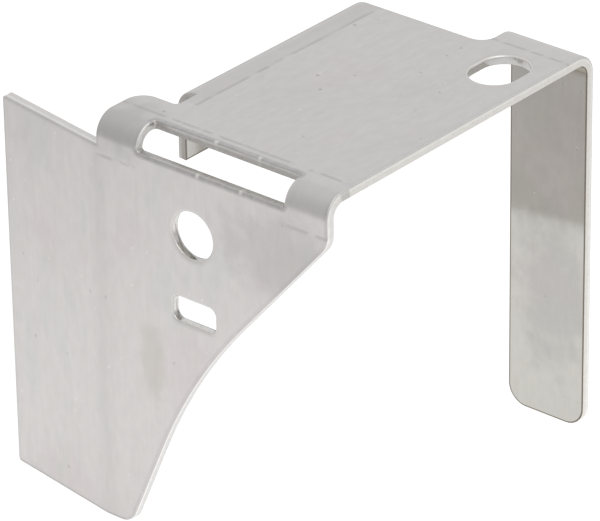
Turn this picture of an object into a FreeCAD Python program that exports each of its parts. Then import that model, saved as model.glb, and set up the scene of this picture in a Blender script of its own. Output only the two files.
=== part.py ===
"""Clamp plate: one piece of bent sheet metal, in millimetres, +Z up.

The sheet is a front plate with a swept-back ear, a top plate joined to it by a bend with a
long window in it, a stiffening flange along the top plate's left side and a narrow leg at its
far end. X runs from the front plate to the leg and Y from the right-hand edge to the ear. The
origin is the centre of the round hole in the front plate, halfway through the sheet. Sketches
are measured from the corner where the front plate, the top surface and the right edge meet.
"""
import FreeCAD, Part
import math
import os
import re

import Sketcher

NODE = "clamp_plate"

# Driving dimensions: name, millimetres or degrees, and what each one measures.
SIZES = [
    ("sheet_thickness", 3.0, "gauge of the sheet"),
    ("bend_radius", 4.0, "inside radius of every bend"),
    ("top_length", 121.0, "outer face of the front plate to outer face of the leg"),
    ("top_width", 78.8, "right edge to outer face of the flange"),
    ("tab_reach", 6.2, "outer face of the flange to the left end of the front bend"),
    ("back_setback", 15.5, "outer face of the leg to the top plate's back edge"),
    ("leg_width", 28.0, "width of the leg"),
    ("leg_length", 124.8, "top surface to the lower end of the leg"),
    ("leg_corner_radius", 6.5, "rounding of the leg's two lower corners"),
    ("leg_relief_radius", 5.0, "inside corner between the back edge and the leg"),
    ("flange_start", 28.0, "outer face of the front plate to the flange's near end"),
    ("flange_depth", 22.6, "top surface to the flange's lower edge"),
    ("notch_width", 8.5, "relief notch between the tab and the flange"),
    ("notch_relief", 0.5, "how far the relief notch cuts past the flange's bend"),
    ("notch_corner_radius", 1.5, "inside corner of the relief notch"),
    ("tab_corner_radius", 6.0, "rounding of the corner left of the relief notch"),
    ("plate_height", 131.2, "top surface to the front plate's lower edge"),
    ("shoulder_drop", 14.5, "top surface to where the right edge starts to slant"),
    ("shoulder_angle", 40.8, "slant of the right edge's upper part from vertical"),
    ("shoulder_radius", 8.0, "rounding of the shoulder"),
    ("waist_drop", 74.4, "top surface to where the right edge's two slants would cross"),
    ("waist_radius", 190.0, "long inward curve of the right edge"),
    ("foot_angle", 23.5, "slant of the right edge's lower part from vertical"),
    ("foot_corner_radius", 6.0, "rounding of the front plate's lower right corner"),
    ("ear_clearance", 0.7, "left end of the front bend to the bend line of the ear"),
    ("ear_angle", 9.0, "how far the ear is bent back"),
    ("ear_length", 42.2, "bend line of the ear to its free edge"),
    ("ear_drop", 9.2, "top surface to the ear's upper edge"),
    ("ear_corner_radius", 1.2, "rounding of the ear's two free corners"),
    ("window_length", 54.2, "length of the window in the middle of the front bend"),
    ("window_reach", 8.4, "outer face of the front plate to the window's far side"),
    ("window_drop", 7.2, "top surface to the window's lower side"),
    ("window_corner_radius", 0.8, "corner radius of the window"),
    ("hole_side", 49.5, "right edge to the round hole and the small slot"),
    ("hole_drop", 27.3, "top surface to the centre of the round hole"),
    ("hole_diameter", 15.0, "round hole in the front plate"),
    ("small_slot_spacing", 25.0, "round hole to small slot, centre to centre"),
    ("small_slot_length", 16.0, "small slot, across the plate"),
    ("small_slot_height", 8.0, "small slot, up the plate"),
    ("small_slot_radius", 2.5, "corner radius of the small slot"),
    ("top_hole_setback", 27.2, "outer face of the leg to the oblong hole's centre"),
    ("top_hole_side", 13.4, "right edge to the oblong hole's centre"),
    ("top_hole_width", 15.0, "oblong hole, across"),
    ("top_hole_length", 20.0, "oblong hole, along the plate"),
    ("edge_roll", 0.4, "rounding that the punch leaves around holes and edges"),
    ("cut_margin", 5.0, "how far a cut runs past the sheet"),
]

doc = FreeCAD.newDocument(NODE)


def write_sheet():
    """Spreadsheet with one named cell for each driving dimension."""
    table = doc.addObject("Spreadsheet::Sheet", "Dimensions")
    for row, (name, amount, meaning) in enumerate(SIZES, start=1):
        table.set(f"A{row}", name)
        table.set(f"B{row}", str(amount))
        table.setAlias(f"B{row}", name)
        table.set(f"C{row}", meaning)
    doc.recompute()
    return table


sheet = write_sheet()
body = doc.addObject("PartDesign::Body", NODE)
body.Label = NODE


def size(terms):
    """Expression over the driving dimensions, each of which the terms give by its bare name."""
    names = "|".join(name for name, _, _ in SIZES)
    return "(" + re.sub(rf"(?<!\.)\b({names})\b", r"Dimensions.\1", terms) + ")"


def number(expression):
    """Present value of an expression over the driving dimensions."""
    return float(sheet.evalExpression(expression))


# Sizes that follow from the driving ones.
ZERO = "0"
THROUGH = size("2 * sheet_thickness")
BEND_OUTSIDE = size("bend_radius + sheet_thickness")
TAB_WIDTH = size("top_width + tab_reach")
BACK_EDGE = size("top_length - back_setback")
FLANGE_ROOT = size("top_width - " + BEND_OUTSIDE)
EAR_SETBACK = BEND_OUTSIDE + " * tan(" + size("ear_angle / 2") + ")"

# Faces meet smoothly where their directions differ by less than this, in radians.
SMOOTH = 1e-3

# Ends of a line or arc in a sketch, and the sketch's own axes and origin.
START, END, CENTRE = range(1, 4)
HORIZONTAL_AXIS, VERTICAL_AXIS = range(-1, -3, -1)
ORIGIN = (HORIZONTAL_AXIS, START)


class Outline:
    """A closed outline of lines and arcs in a sketch whose sizes are bound to the sheet."""

    def __init__(self, name, plane, offset=None):
        self.sketch = body.newObject("Sketcher::SketchObject", name)
        origin_plane = next(f for f in body.Origin.OriginFeatures if f.Role == plane)
        self.sketch.AttachmentSupport = [(origin_plane, "")]
        self.sketch.MapMode = "FlatFace"
        if offset:
            self.sketch.setExpression("AttachmentOffset.Base.z", offset)

    def line(self, start, end):
        """First placing of a line between two points, each a pair of expressions."""
        ends = [FreeCAD.Vector(number(u), number(v), 0) for u, v in (start, end)]
        return self.sketch.addGeometry(Part.LineSegment(*ends))

    def circle(self, centre, radius):
        middle = FreeCAD.Vector(number(centre[0]), number(centre[1]), 0)
        return Part.Circle(middle, FreeCAD.Vector(0, 0, 1), number(radius))

    def arc(self, centre, radius, start_angle, end_angle):
        """First placing of an arc, turning left from one angle in degrees to the other."""
        angles = [math.radians(number(a)) for a in (start_angle, end_angle)]
        return self.sketch.addGeometry(Part.ArcOfCircle(self.circle(centre, radius), *angles))

    def polygon(self, points):
        """Closed run of lines through the points."""
        lines = [self.line(a, b) for a, b in zip(points, points[1:] + points[:1])]
        for this, following in zip(lines, lines[1:] + lines[:1]):
            self.meet(this, END, following, START)
        return lines

    def rule(self, kind, *where):
        self.sketch.addConstraint(Sketcher.Constraint(kind, *where))

    def meet(self, *ends):
        self.rule("Coincident", *ends)

    def touch(self, *ends):
        """Two ends that meet and run on smoothly."""
        self.rule("Tangent", *ends)

    def level(self, *lines):
        for line in lines:
            self.rule("Horizontal", line)

    def upright(self, *lines):
        for line in lines:
            self.rule("Vertical", line)

    def bind(self, kind, where, name, expression):
        """Constraint of a kind whose value follows an expression."""
        amount = number(expression)
        if kind == "Angle":
            amount = math.radians(amount)
        index = self.sketch.addConstraint(Sketcher.Constraint(kind, *where, amount))
        self.sketch.renameConstraint(index, name)
        self.sketch.setExpression("Constraints." + name, expression)

    def right(self, end, name, expression):
        """An end lies this far to the right of the sketch's origin."""
        self.bind("DistanceX", (*ORIGIN, *end), name, expression)

    def left(self, end, name, expression):
        self.bind("DistanceX", (*end, *ORIGIN), name, expression)

    def up(self, end, name, expression):
        self.bind("DistanceY", (*ORIGIN, *end), name, expression)

    def down(self, end, name, expression):
        self.bind("DistanceY", (*end, *ORIGIN), name, expression)

    def extrude(self, kind, name, length=None, flip=False):
        """Pad or pocket of the outline; with no length it goes through everything."""
        feature = body.newObject("PartDesign::" + kind, name)
        feature.Profile = self.sketch
        feature.Reversed = flip
        if length:
            feature.setExpression("Length", length)
        else:
            feature.Type = "ThroughAll"
        finish(feature, adds=(kind == "Pad"))


volume = 0.0


def finish(feature, adds):
    """Recompute, and check that the step added or removed metal as it should."""
    global volume
    doc.recompute()
    if not feature.isValid() or feature.Shape.isNull():
        raise RuntimeError(feature.Name + " did not build")
    change = feature.Shape.Volume - volume
    if (change > 0) != adds:
        raise RuntimeError(feature.Name + " changed the volume the wrong way")
    volume = feature.Shape.Volume


def point(x, y, z):
    """Point in the sketches' frame from three expressions."""
    return FreeCAD.Vector(number(x), number(y), number(z))


def round_edges(name, radius, points, adds=False):
    """Fillet on the edges of the body that pass through the points."""
    base = body.Tip
    edges = []
    for place in points:
        gaps = [edge.distToShape(Part.Vertex(place))[0] for edge in base.Shape.Edges]
        edges.append(f"Edge{gaps.index(min(gaps)) + 1}")
    feature = body.newObject("PartDesign::Fillet", name)
    feature.Base = (base, edges)
    feature.setExpression("Radius", radius)
    finish(feature, adds)


def add_channel():
    """Front plate, top plate and leg at full width, then their two bends."""
    outline = Outline("channel_profile", "XZ_Plane")
    length, thick = size("top_length"), size("sheet_thickness")
    leg, height = size("leg_length"), size("plate_height")
    leg_inside = size("top_length - sheet_thickness")
    lines = outline.polygon([
        (ZERO, ZERO), (length, ZERO), (length, "-" + leg), (leg_inside, "-" + leg),
        (leg_inside, "-" + thick), (thick, "-" + thick), (thick, "-" + height), (ZERO, "-" + height),
    ])
    outline.level(*lines[0::2])
    outline.upright(*lines[1::2])
    outline.meet(lines[0], START, *ORIGIN)
    outline.right((lines[0], END), "top_length", length)
    outline.right((lines[3], START), "leg_inside", leg_inside)
    outline.right((lines[5], START), "plate_inside", thick)
    outline.down((lines[1], END), "leg_length", leg)
    outline.down((lines[4], START), "top_inside", thick)
    outline.down((lines[5], END), "plate_height", height)
    outline.extrude("Pad", "channel", TAB_WIDTH, flip=True)

    middle = size(TAB_WIDTH + " / 2")
    inside = [point(thick, middle, "-" + thick), point(leg_inside, middle, "-" + thick)]
    outside = [point(ZERO, middle, ZERO), point(length, middle, ZERO)]
    round_edges("bend_insides", size("bend_radius"), inside, adds=True)
    round_edges("bend_outsides", BEND_OUTSIDE, outside)


def cut_top_outline():
    """Tab, relief notch, back edge and the narrow leg, cut straight down."""
    outline = Outline("top_outline", "XY_Plane")
    notch, flange = size("flange_start - notch_width"), size("flange_start")
    notch_floor = size("top_width - notch_relief - " + BEND_OUTSIDE)
    far_right, far_up = size("top_length + cut_margin"), size("cut_margin + " + TAB_WIDTH)
    lines = outline.polygon([
        (notch, far_up), (notch, notch_floor), (flange, notch_floor), (flange, FLANGE_ROOT),
        (BACK_EDGE, FLANGE_ROOT), (BACK_EDGE, size("leg_width")), (far_right, size("leg_width")),
        (far_right, far_up),
    ])
    outline.upright(*lines[0::2])
    outline.level(*lines[1::2])
    outline.right((lines[0], END), "notch_start", notch)
    outline.up((lines[0], END), "notch_floor", notch_floor)
    outline.right((lines[1], END), "flange_start", flange)
    outline.up((lines[2], END), "flange_root", FLANGE_ROOT)
    outline.right((lines[3], END), "back_edge", BACK_EDGE)
    outline.up((lines[4], END), "leg_width", size("leg_width"))
    outline.right((lines[5], END), "past_the_leg", far_right)
    outline.up((lines[6], END), "past_the_tab", far_up)
    outline.extrude("Pocket", "top_trim")

    half_sheet = "-" + size("sheet_thickness / 2")
    low = "-" + size("leg_length")
    leg_middle = size("top_length - sheet_thickness / 2")
    round_edges("tab_corner", size("tab_corner_radius"),
                [point(notch, TAB_WIDTH, half_sheet)])
    round_edges("notch_corner", size("notch_corner_radius"),
                [point(notch, notch_floor, half_sheet)], adds=True)
    round_edges("leg_relief", size("leg_relief_radius"),
                [point(BACK_EDGE, size("leg_width"), half_sheet)], adds=True)
    round_edges("leg_corners", size("leg_corner_radius"),
                [point(leg_middle, ZERO, low), point(leg_middle, size("leg_width"), low)])


def add_flange():
    """Bend and stiffening flange along the left side of the top plate."""
    outline = Outline("flange_profile", "YZ_Plane", size("flange_start"))
    outer, inner = size("top_width"), size("top_width - sheet_thickness")
    thick, low = size("sheet_thickness"), "-" + size("flange_depth")
    centre = (FLANGE_ROOT, "-" + BEND_OUTSIDE)
    outside = outline.arc(centre, BEND_OUTSIDE, "0", "90")
    inside = outline.arc(centre, size("bend_radius"), "0", "90")
    outer_face = outline.line((outer, centre[1]), (outer, low))
    lower_edge = outline.line((outer, low), (inner, low))
    inner_face = outline.line((inner, low), (inner, centre[1]))
    root = outline.line((FLANGE_ROOT, "-" + thick), (FLANGE_ROOT, ZERO))
    outline.upright(outer_face, inner_face, root)
    outline.level(lower_edge)
    outline.touch(outside, START, outer_face, START)
    outline.meet(outer_face, END, lower_edge, START)
    outline.meet(lower_edge, END, inner_face, START)
    outline.touch(inner_face, END, inside, START)
    outline.meet(inside, END, root, START)
    outline.meet(root, END, outside, END)
    outline.meet(inside, CENTRE, outside, CENTRE)
    outline.rule("Vertical", outside, CENTRE, root, END)
    outline.rule("PointOnObject", root, END, HORIZONTAL_AXIS)
    outline.right((root, END), "flange_root", FLANGE_ROOT)
    outline.bind("Radius", (outside,), "outside_radius", BEND_OUTSIDE)
    outline.bind("Radius", (inside,), "inside_radius", size("bend_radius"))
    outline.down((lower_edge, START), "flange_depth", size("flange_depth"))
    outline.extrude("Pad", "flange", size(BACK_EDGE + " - flange_start"))


def add_ear():
    """The front plate's left part, bent back along an upright line."""
    outline = Outline("ear_profile", "XY_Plane", "-" + size("plate_height"))
    thick, bend, angle = size("sheet_thickness"), size("bend_radius"), size("ear_angle")
    bend_line = size("ear_clearance + " + TAB_WIDTH)
    root = bend_line + " - 2 * " + BEND_OUTSIDE
    bend_start = bend_line + " - " + EAR_SETBACK
    free_length = size("ear_length") + " - " + EAR_SETBACK
    centre = (BEND_OUTSIDE, bend_start)

    def on_bend(radius, along):
        """Point this far along the ear from the bend's end, on the face of that radius."""
        across = f"{BEND_OUTSIDE} - {radius} * cos({angle}) + ({along}) * sin({angle})"
        forward = f"{bend_start} + {radius} * sin({angle}) + ({along}) * cos({angle})"
        return across, forward

    outer_face = outline.line((ZERO, root), (ZERO, bend_start))
    outside = outline.arc(centre, BEND_OUTSIDE, size("180 - ear_angle"), "180")
    ear_outer = outline.line(on_bend(BEND_OUTSIDE, ZERO), on_bend(BEND_OUTSIDE, free_length))
    free_edge = outline.line(on_bend(BEND_OUTSIDE, free_length), on_bend(bend, free_length))
    ear_inner = outline.line(on_bend(bend, free_length), on_bend(bend, ZERO))
    inside = outline.arc(centre, bend, size("180 - ear_angle"), "180")
    inner_face = outline.line((thick, bend_start), (thick, root))
    root_edge = outline.line((thick, root), (ZERO, root))
    outline.touch(outer_face, END, outside, END)
    outline.touch(outside, START, ear_outer, START)
    outline.meet(ear_outer, END, free_edge, START)
    outline.meet(free_edge, END, ear_inner, START)
    outline.touch(ear_inner, END, inside, START)
    outline.touch(inside, END, inner_face, START)
    outline.meet(inner_face, END, root_edge, START)
    outline.meet(root_edge, END, outer_face, START)
    outline.meet(inside, CENTRE, outside, CENTRE)
    outline.rule("PointOnObject", outer_face, START, VERTICAL_AXIS)
    outline.upright(outer_face)
    outline.level(root_edge)
    outline.rule("Perpendicular", ear_outer, free_edge)
    outline.up((outer_face, START), "root", root)
    outline.up((outer_face, END), "bend_start", bend_start)
    outline.bind("Radius", (outside,), "outside_radius", BEND_OUTSIDE)
    outline.bind("Radius", (inside,), "inside_radius", bend)
    outline.bind("Angle", (ear_outer,), "ear_direction", size("90 - ear_angle"))
    outline.bind("Distance", (ear_outer,), "free_length", free_length)
    outline.extrude("Pad", "ear", size("plate_height - ear_drop"))

    tip = on_bend(size("bend_radius + sheet_thickness / 2"), free_length)
    ends = [point(*tip, "-" + size("ear_drop")), point(*tip, "-" + size("plate_height"))]
    round_edges("ear_corners", size("ear_corner_radius"), ends)


def cut_right_outline():
    """Slanted right edge of the front plate: shoulder, long inward curve and foot."""
    outline = Outline("right_outline", "YZ_Plane")
    margin, height, drop = size("cut_margin"), size("plate_height"), size("shoulder_drop")
    upper, lower = size("shoulder_angle"), size("foot_angle")
    radius, waist_drop = size("waist_radius"), size("waist_drop")
    below = size("plate_height + cut_margin")
    waist_side = f"({waist_drop} - {drop}) * tan({upper})"
    foot = f"({waist_side} + ({height} - {waist_drop}) * tan({lower}))"
    tangent = f"{radius} * tan(({upper} - {lower}) / 2)"
    curve_start = (f"{waist_side} - {tangent} * sin({upper})",
                   f"-{waist_drop} + {tangent} * cos({upper})")
    curve_end = (f"{waist_side} + {tangent} * sin({lower})",
                 f"-{waist_drop} - {tangent} * cos({lower})")
    centre = (f"{curve_start[0]} - {radius} * cos({upper})",
              f"{curve_start[1]} - {radius} * sin({upper})")

    shoulder = outline.line((ZERO, "-" + drop), curve_start)
    waist = outline.arc(centre, radius, lower, upper)
    shin = outline.line(curve_end, (foot, "-" + height))
    heel = outline.line((foot, "-" + height), (foot, "-" + below))
    under = outline.line((foot, "-" + below), ("-" + margin, "-" + below))
    beside = outline.line(("-" + margin, "-" + below), ("-" + margin, "-" + drop))
    ledge = outline.line(("-" + margin, "-" + drop), (ZERO, "-" + drop))
    outline.touch(shoulder, END, waist, END)
    outline.touch(waist, START, shin, START)
    outline.meet(shin, END, heel, START)
    outline.meet(heel, END, under, START)
    outline.meet(under, END, beside, START)
    outline.meet(beside, END, ledge, START)
    outline.meet(ledge, END, shoulder, START)
    outline.upright(heel, beside)
    outline.level(under, ledge)
    outline.rule("PointOnObject", shoulder, START, VERTICAL_AXIS)
    outline.down((shoulder, START), "shoulder_drop", drop)
    outline.bind("Angle", (shoulder,), "shoulder_direction", size("shoulder_angle - 90"))
    outline.bind("Radius", (waist,), "waist_radius", radius)
    outline.bind("Angle", (shin,), "foot_direction", size("foot_angle - 90"))
    outline.right((shin, END), "foot_start", foot)
    outline.down((shin, END), "plate_height", height)
    outline.down((under, START), "below_the_plate", below)
    outline.left((beside, START), "beside_the_plate", margin)
    outline.extrude("Pocket", "right_trim", THROUGH, flip=True)

    half_sheet = size("sheet_thickness / 2")
    round_edges("shoulder", size("shoulder_radius"), [point(half_sheet, ZERO, "-" + drop)])
    round_edges("foot_corner", size("foot_corner_radius"), [point(half_sheet, foot, "-" + height)])


def cut_window():
    """Long window that takes the whole curve of the front bend and a little of both plates."""
    near = size("(" + TAB_WIDTH + " - window_length) / 2")
    far = near + " + " + size("window_length")
    outline = Outline("window_outline", "XZ_Plane", "-" + near)
    margin, reach, drop = size("cut_margin"), size("window_reach"), size("window_drop")
    lines = outline.polygon([
        ("-" + margin, margin), (reach, margin), (reach, "-" + drop), ("-" + margin, "-" + drop),
    ])
    outline.level(lines[0], lines[2])
    outline.upright(lines[1], lines[3])
    outline.up((lines[0], START), "above", margin)
    outline.left((lines[0], START), "before", margin)
    outline.right((lines[1], END), "window_reach", reach)
    outline.down((lines[1], END), "window_drop", drop)
    outline.extrude("Pocket", "window", size("window_length"))

    half_sheet = size("sheet_thickness / 2")
    corners = [point(reach, near, "-" + half_sheet), point(reach, far, "-" + half_sheet),
               point(half_sheet, near, "-" + drop), point(half_sheet, far, "-" + drop)]
    round_edges("window_corners", size("window_corner_radius"), corners, adds=True)


def cut_front_holes():
    """Round hole and small rounded slot below it, through the front plate."""
    side, drop, bore = size("hole_side"), size("hole_drop"), size("hole_diameter")
    outline = Outline("round_hole_outline", "YZ_Plane")
    circle = outline.sketch.addGeometry(outline.circle((side, "-" + drop), size("hole_diameter / 2")))
    outline.right((circle, CENTRE), "hole_side", side)
    outline.down((circle, CENTRE), "hole_drop", drop)
    outline.bind("Diameter", (circle,), "hole_diameter", bore)
    outline.extrude("Pocket", "round_hole", THROUGH, flip=True)

    outline = Outline("small_slot_outline", "YZ_Plane")
    near = size("hole_side - small_slot_length / 2")
    far = size("hole_side + small_slot_length / 2")
    top = size("hole_drop + small_slot_spacing - small_slot_height / 2")
    bottom = size("hole_drop + small_slot_spacing + small_slot_height / 2")
    lines = outline.polygon([
        (near, "-" + top), (far, "-" + top), (far, "-" + bottom), (near, "-" + bottom),
    ])
    outline.level(lines[0], lines[2])
    outline.upright(lines[1], lines[3])
    outline.right((lines[0], START), "near_end", near)
    outline.down((lines[0], START), "upper_side", top)
    outline.right((lines[2], START), "far_end", far)
    outline.down((lines[2], START), "lower_side", bottom)
    outline.extrude("Pocket", "small_slot", THROUGH, flip=True)
    half_sheet = size("sheet_thickness / 2")
    corners = [point(half_sheet, y, "-" + z) for y in (near, far) for z in (top, bottom)]
    round_edges("small_slot_corners", size("small_slot_radius"), corners, adds=True)


def cut_top_hole():
    """Oblong hole through the top plate in front of the leg."""
    outline = Outline("oblong_hole_outline", "XY_Plane")
    side, half_width = size("top_hole_side"), size("top_hole_width / 2")
    near = size("top_length - top_hole_setback - (top_hole_length - top_hole_width) / 2")
    far = size("top_length - top_hole_setback + (top_hole_length - top_hole_width) / 2")
    low = size("top_hole_side - top_hole_width / 2")
    high = size("top_hole_side + top_hole_width / 2")
    far_end = outline.arc((far, side), half_width, "-90", "90")
    high_side = outline.line((far, high), (near, high))
    near_end = outline.arc((near, side), half_width, "90", "270")
    low_side = outline.line((near, low), (far, low))
    loop = [far_end, high_side, near_end, low_side]
    for this, following in zip(loop, loop[1:] + loop[:1]):
        outline.touch(this, END, following, START)
    outline.level(high_side, low_side)
    outline.up((far_end, CENTRE), "hole_side", side)
    outline.right((far_end, CENTRE), "far_centre", far)
    outline.right((near_end, CENTRE), "near_centre", near)
    outline.bind("Radius", (far_end,), "end_radius", half_width)
    outline.extrude("Pocket", "oblong_hole", THROUGH)


def runs_smoothly(edge, first, second):
    """Whether two faces have the same direction halfway along the edge that they share."""
    middle = edge.valueAt((edge.FirstParameter + edge.LastParameter) / 2)
    directions = [face.normalAt(*face.Surface.parameter(middle)) for face in (first, second)]
    return directions[0].getAngle(directions[1]) < SMOOTH


def skin_faces(shape, seed):
    """Names of the faces that run smoothly on from the one at the seed point."""
    faces = shape.Faces
    gaps = [face.distToShape(Part.Vertex(seed))[0] for face in faces]
    waiting = [gaps.index(min(gaps))]
    found = set()
    while waiting:
        here = waiting.pop()
        found.add(here)
        for edge in faces[here].Edges:
            beyond = [i for i, face in enumerate(faces)
                      if i not in found and any(edge.isSame(e) for e in face.Edges)]
            waiting.extend(i for i in beyond if runs_smoothly(edge, faces[here], faces[i]))
    return [f"Face{i + 1}" for i in sorted(found)]


def roll_edges():
    """Small rounding all around the outer side of the sheet and its holes."""
    base = body.Tip
    seed = point(size("top_length / 2"), size("leg_width / 2"), ZERO)
    feature = body.newObject("PartDesign::Fillet", "edge_roll")
    feature.Base = (base, skin_faces(base.Shape, seed))
    feature.setExpression("Radius", size("edge_roll"))
    finish(feature, adds=False)


def write_parts():
    """Check every object, then write the body to its own file."""
    doc.recompute()
    for item in doc.Objects:
        if "Invalid" in item.State or "Error" in item.State:
            raise RuntimeError(item.Name + " is " + ", ".join(item.State))
    shape = body.Shape
    if shape.isNull() or not shape.isValid() or len(shape.Solids) != 1:
        raise RuntimeError(NODE + " is not one valid solid")
    os.makedirs("parts", exist_ok=True)
    shape.exportStep(f"parts/{NODE}.step")


add_channel()
cut_top_outline()
add_flange()
add_ear()
cut_right_outline()
cut_window()
cut_front_holes()
cut_top_hole()
roll_edges()
body.setExpression("Placement.Base.x", "-" + size("sheet_thickness / 2"))
body.setExpression("Placement.Base.y", "-" + size("hole_side"))
body.setExpression("Placement.Base.z", size("hole_drop"))
write_parts()
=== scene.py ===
"""Looks of a clamp plate of bent sheet steel, and a plain studio around it, in metres, +Z up.

The sheet is made as the real one is: a flat blank is outlined and punched, its rims are drawn down
by the punch, it gets its thickness, and it is folded along four lines. The blank is measured along
its outer side as if its bends were sharp: the run goes from the front plate over the top plate to
the leg and is zero at the front bend, and the side goes from the right-hand edge to the ear.
"""

import math
from collections import namedtuple

import bmesh
import bpy
import numpy
from mathutils import Matrix, Vector


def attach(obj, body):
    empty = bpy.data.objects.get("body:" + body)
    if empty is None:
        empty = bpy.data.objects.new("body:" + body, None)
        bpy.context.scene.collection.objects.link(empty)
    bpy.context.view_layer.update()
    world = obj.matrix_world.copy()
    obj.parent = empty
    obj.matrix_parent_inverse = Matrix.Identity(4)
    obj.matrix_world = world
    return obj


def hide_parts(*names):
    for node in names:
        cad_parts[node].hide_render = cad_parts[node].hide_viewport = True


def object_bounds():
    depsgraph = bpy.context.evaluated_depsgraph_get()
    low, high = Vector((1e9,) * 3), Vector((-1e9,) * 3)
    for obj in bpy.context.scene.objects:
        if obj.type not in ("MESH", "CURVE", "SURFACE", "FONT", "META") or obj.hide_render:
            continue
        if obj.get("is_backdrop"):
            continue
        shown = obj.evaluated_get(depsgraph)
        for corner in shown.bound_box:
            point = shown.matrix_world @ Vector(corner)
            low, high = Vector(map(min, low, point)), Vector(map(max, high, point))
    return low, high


bl_info = {
    "name": "Clamp Plate",
    "version": (1, 0, 0),
    "blender": (4, 5, 0),
    "location": "View3D > Sidebar > Clamp Plate",
    "description": "Clamp plate of bent sheet steel with its mill finish, in a plain studio",
    "category": "Add Mesh",
}

NODE = "clamp_plate"
BODY = "root"
MM = 0.001

# Tolerances of the mesh and of its box.
ON_PLANE = MM / 10000
LEVEL = MM / 1000
SHORTEST_EDGE = MM / 200
BOX_TOLERANCE = 0.4 * MM
SHARP_ANGLE = math.radians(32)

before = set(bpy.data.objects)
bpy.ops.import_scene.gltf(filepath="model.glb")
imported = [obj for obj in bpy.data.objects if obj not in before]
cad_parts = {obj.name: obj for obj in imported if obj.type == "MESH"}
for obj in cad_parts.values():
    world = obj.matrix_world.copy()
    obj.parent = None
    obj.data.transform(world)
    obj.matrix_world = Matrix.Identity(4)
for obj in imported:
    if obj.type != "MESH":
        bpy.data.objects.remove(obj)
CAD_LOW, CAD_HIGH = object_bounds()

# Names of what the sheet's mesh carries for its materials.
BLANK_MAP = "blank"
RIM_DISTANCE = "rim_distance"
DEPTH = "depth"
PUNCHED = "punched"

ALONG_RUN = Vector((1, 0, 0))
ALONG_SIDE = Vector((0, 1, 0))
UP = Vector((0, 0, 1))


def length(name, description, amount):
    """Property for a length, in metres."""
    return bpy.props.FloatProperty(
        name=name, description=description, default=amount, unit="LENGTH", precision=5)


def angle(name, description, degrees):
    return bpy.props.FloatProperty(
        name=name, description=description, default=math.radians(degrees), unit="ROTATION")


def share(name, description, amount):
    return bpy.props.FloatProperty(
        name=name, description=description, default=amount, min=0, max=1, subtype="FACTOR")


def strength(name, description, amount, unit="NONE"):
    return bpy.props.FloatProperty(
        name=name, description=description, default=amount, min=0, unit=unit)


def place(name, description, *at):
    return bpy.props.FloatVectorProperty(
        name=name, description=description, default=at, unit="LENGTH", subtype="XYZ")


def colour(name, description, red, green, blue):
    return bpy.props.FloatVectorProperty(
        name=name, description=description, default=(red, green, blue), min=0, max=1,
        subtype="COLOR")


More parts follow.
